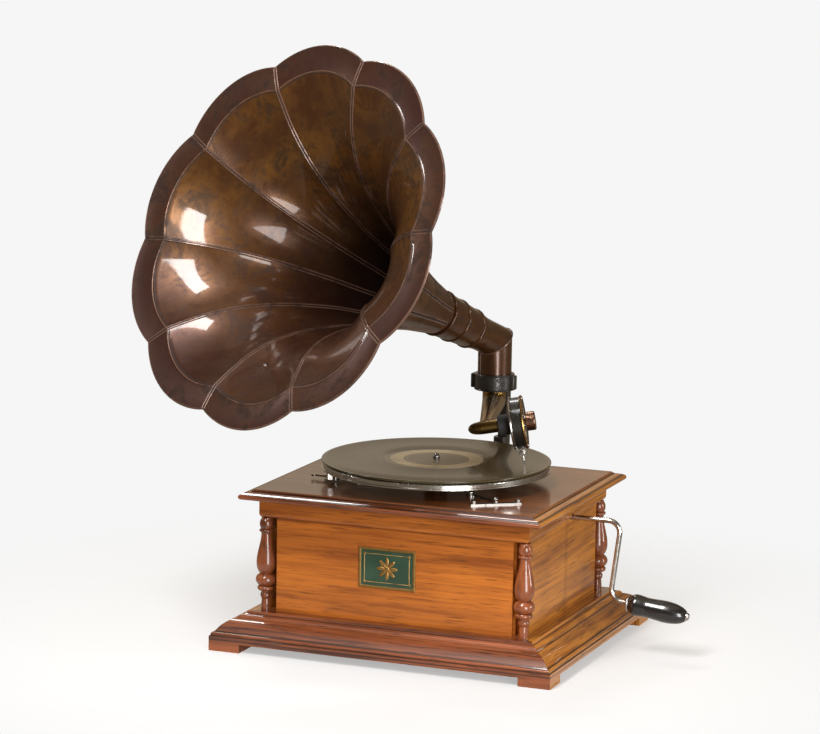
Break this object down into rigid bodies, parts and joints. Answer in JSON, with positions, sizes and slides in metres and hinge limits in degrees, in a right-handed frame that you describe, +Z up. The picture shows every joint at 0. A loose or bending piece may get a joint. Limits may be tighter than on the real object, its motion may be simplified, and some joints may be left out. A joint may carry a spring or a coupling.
{
  "type": "horn phonograph",
  "caption": "Table-top wind-up phonograph: moulded wooden case with turned columns, disc turntable, swinging tonearm, side crank and a large scalloped horn on a swivelling elbow.",
  "frame": {"origin": "middle of the footprint of the whole object, on the table under the feet", "axes": "+Z up along the turntable spindle, +X towards the winding crank, -Y towards the front of the case"},
  "size_m": [0.614, 0.4701, 0.6537],
  "materials": {
    "wood_top": "glossy lacquered hardwood, dark",
    "wood_moulding": "glossy lacquered hardwood, red brown",
    "wood_panel": "satin lacquered hardwood, golden brown",
    "wood_inner": "bare board",
    "badge_gilt": "aged gilt",
    "badge_enamel": "dark green enamel",
    "motor_steel": "oiled steel",
    "spindle_steel": "polished steel",
    "governor_brass": "bright brass",
    "nickel": "worn nickel plate",
    "crank_steel": "worn nickel plate",
    "felt": "thin felt",
    "shellac": "grooved shellac, glossy",
    "black_grip": "black lacquer",
    "horn_skin": "brown patinated, polished and mottled",
    "black_iron": "black painted casting",
    "arm_brass": "polished brass",
    "gooseneck_bronze": "browned brass",
    "rubber": "aged rubber",
    "sound_box_black": "black body with bright rims",
    "diaphragm": "mica sheet",
    "knob_copper": "coppery brass",
    "needle_steel": "bright steel"
  },
  "bodies": {
    "cabinet": {"back_panel": "wood_panel", "badge_frame": "badge_gilt", "badge_plate": "badge_enamel", "bottom_board": "wood_inner", "bracket_screws": "nickel", "brake_base": "nickel", "column_back_left": "wood_moulding", "column_back_right": "wood_moulding", "column_front_left": "wood_moulding", "column_front_right": "wood_moulding", "corner_posts": "wood_panel", "feet": "wood_moulding", "frieze": "wood_panel", "front_panel": "wood_panel", "horn_bracket": "black_iron", "left_panel": "wood_panel", "motor_brackets": "motor_steel", "motor_pillars": "motor_steel", "motor_plates": "motor_steel", "plinth": "wood_moulding", "right_panel": "wood_panel", "speed_scale": "nickel", "top_board": "wood_top", "top_moulding": "wood_moulding"},
    "turntable": {"spindle": "spindle_steel", "platter": "nickel", "felt_mat": "felt", "record": "shellac"},
    "barrel": {"spring_barrel": "motor_steel", "mainspring": "motor_steel"},
    "winding_arbor": {"winding_arbor": "motor_steel"},
    "layshaft": {"layshaft": "motor_steel"},
    "governor": {"governor_shaft": "motor_steel", "governor_weights": "governor_brass"},
    "crank": {"crank_rod": "crank_steel", "winding_shaft": "motor_steel", "grip_nut": "nickel"},
    "crank_grip": {"crank_grip": "black_grip"},
    "brake": {"brake_lever": "nickel"},
    "speed_lever": {"speed_lever": "nickel"},
    "horn": {"horn_petal_01": "horn_skin", "horn_petal_02": "horn_skin", "horn_petal_03": "horn_skin", "horn_petal_04": "horn_skin", "horn_petal_05": "horn_skin", "horn_petal_06": "horn_skin", "horn_petal_07": "horn_skin", "horn_petal_08": "horn_skin", "horn_petal_09": "horn_skin", "horn_petal_10": "horn_skin", "horn_throat": "horn_skin", "horn_elbow": "horn_skin"},
    "tonearm": {"tonearm": "arm_brass", "gooseneck": "gooseneck_bronze"},
    "sound_box": {"rubber_sleeve": "rubber", "sound_box_shell": "sound_box_black", "diaphragm": "diaphragm", "sound_box_knob": "knob_copper", "needle_holder": "nickel", "needle": "needle_steel"}
  },
  "joints": [
    {"name": "turntable_spin", "type": "hinge", "parent": "cabinet", "child": "turntable", "pos_m": [0.01526, 0.0211, 0.19], "axis": [0, 0, 1], "continuous": true},
    {"name": "layshaft_spin", "type": "hinge", "parent": "cabinet", "child": "layshaft", "pos_m": [0.04256, -0.00675, 0.12], "axis": [0, 0, 1], "continuous": true},
    {"name": "barrel_spin", "type": "hinge", "parent": "cabinet", "child": "barrel", "pos_m": [0.09026, 0.0344, 0.12], "axis": [0, 0, 1], "continuous": true},
    {"name": "governor_spin", "type": "hinge", "parent": "cabinet", "child": "governor", "pos_m": [0.01526, 0.0015, 0.118], "axis": [1, 0, 0], "continuous": true},
    {"name": "crank_spin", "type": "hinge", "parent": "cabinet", "child": "crank", "pos_m": [0.16526, 0.0344, 0.146], "axis": [1, 0, 0], "continuous": true},
    {"name": "winding_arbor_spin", "type": "hinge", "parent": "cabinet", "child": "winding_arbor", "pos_m": [0.09026, 0.0344, 0.12], "axis": [0, 0, 1], "continuous": true},
    {"name": "grip_spin", "type": "hinge", "parent": "crank", "child": "crank_grip", "pos_m": [0.23936, 0.0344, 0.05585], "axis": [0.9925, 0, -0.1219], "continuous": true},
    {"name": "brake_swing", "type": "hinge", "parent": "cabinet", "child": "brake", "pos_m": [-0.08404, -0.0306, 0.178], "axis": [0, 0, 1], "range_deg": [0, 15]},
    {"name": "speed_lever_swing", "type": "hinge", "parent": "cabinet", "child": "speed_lever", "pos_m": [0.08026, -0.0434, 0.178], "axis": [0, 0, 1], "range_deg": [-14, 14]},
    {"name": "horn_swivel", "type": "hinge", "parent": "cabinet", "child": "horn", "pos_m": [0.01526, 0.2031, 0.26], "axis": [0, 0, 1], "range_deg": [-45, 45]},
    {"name": "tonearm_swing", "type": "hinge", "parent": "cabinet", "child": "tonearm", "pos_m": [0.01526, 0.2031, 0.25], "axis": [0, 0, 1], "range_deg": [-14, 18]},
    {"name": "sound_box_lift", "type": "hinge", "parent": "tonearm", "child": "sound_box", "pos_m": [0.07233, 0.01873, 0.24], "axis": [-0.9408, -0.2912, -0.1736], "range_deg": [0, 110]}
  ],
  "couplings": [
    {"joint": "layshaft_spin", "follows": "turntable_spin", "ratio": -0.3},
    {"joint": "barrel_spin", "follows": "turntable_spin", "ratio": 0.06},
    {"joint": "governor_spin", "follows": "turntable_spin", "ratio": -12},
    {"joint": "winding_arbor_spin", "follows": "crank_spin", "ratio": 0.25}
  ]
}
